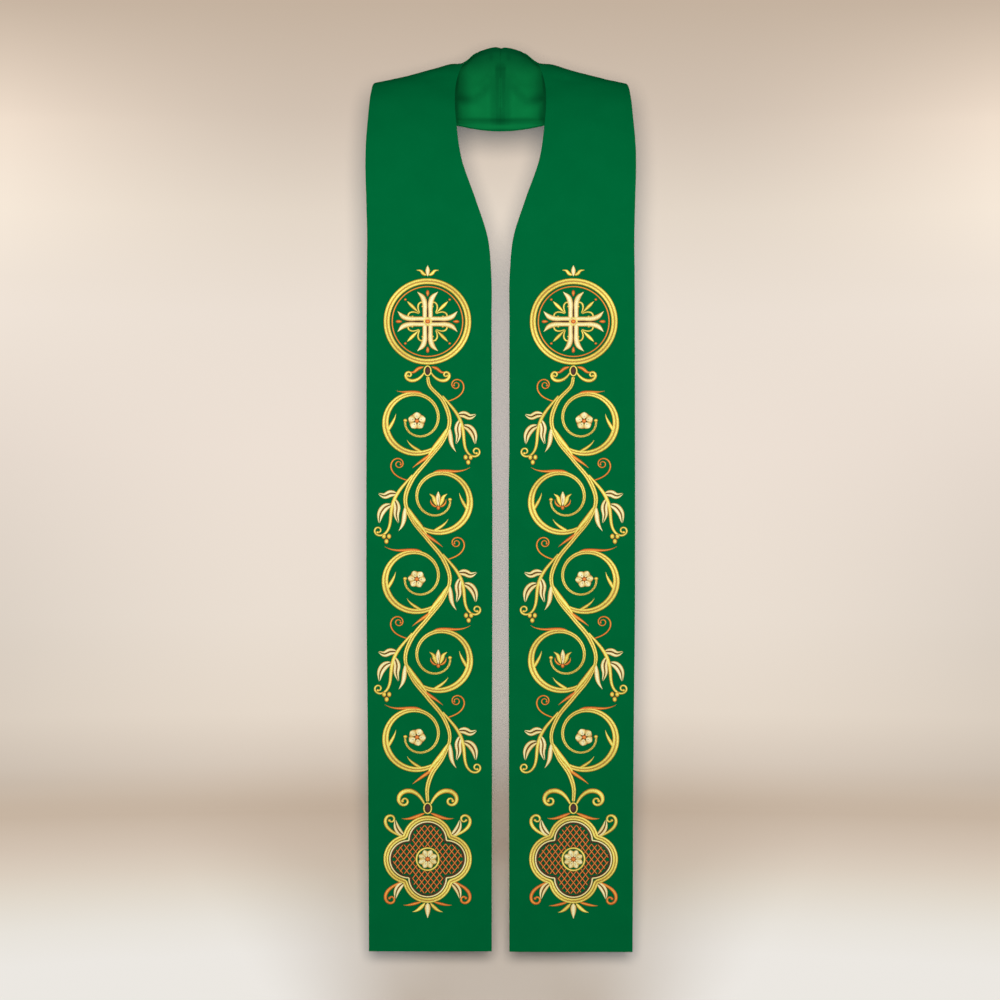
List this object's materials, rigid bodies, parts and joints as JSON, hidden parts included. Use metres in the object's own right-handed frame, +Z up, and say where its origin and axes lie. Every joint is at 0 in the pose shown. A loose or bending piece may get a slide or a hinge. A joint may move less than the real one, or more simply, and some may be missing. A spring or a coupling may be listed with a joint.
{
  "type": "clerical stole",
  "caption": "Lined and embroidered priest's stole in its worn form: a band that stands behind the neck, rolls over the shoulders and hangs in straight fronts to square hems.",
  "frame": {"origin": "middle of the neck opening, level with the points where the neck edges cross the tops of the shoulders, where the wearer's neck and shoulders hold it", "axes": "+Z up, the wearer faces -Y, +X is the wearer's left; the fronts hang down along -Z"},
  "size_m": [0.3584, 0.1825, 1.2214],
  "materials": {
    "face_cloth": "matt closely woven cloth",
    "lining_cloth": "satin lining",
    "gold_thread": "glossy satin-stitch thread",
    "pale_thread": "glossy satin-stitch thread",
    "amber_thread": "glossy satin-stitch thread",
    "dark_thread": "glossy satin-stitch thread"
  },
  "bodies": {
    "root": {"face_left": "face_cloth", "face_right": "face_cloth", "lining_left": "lining_cloth", "lining_right": "lining_cloth"}
  },
  "joints": []
}
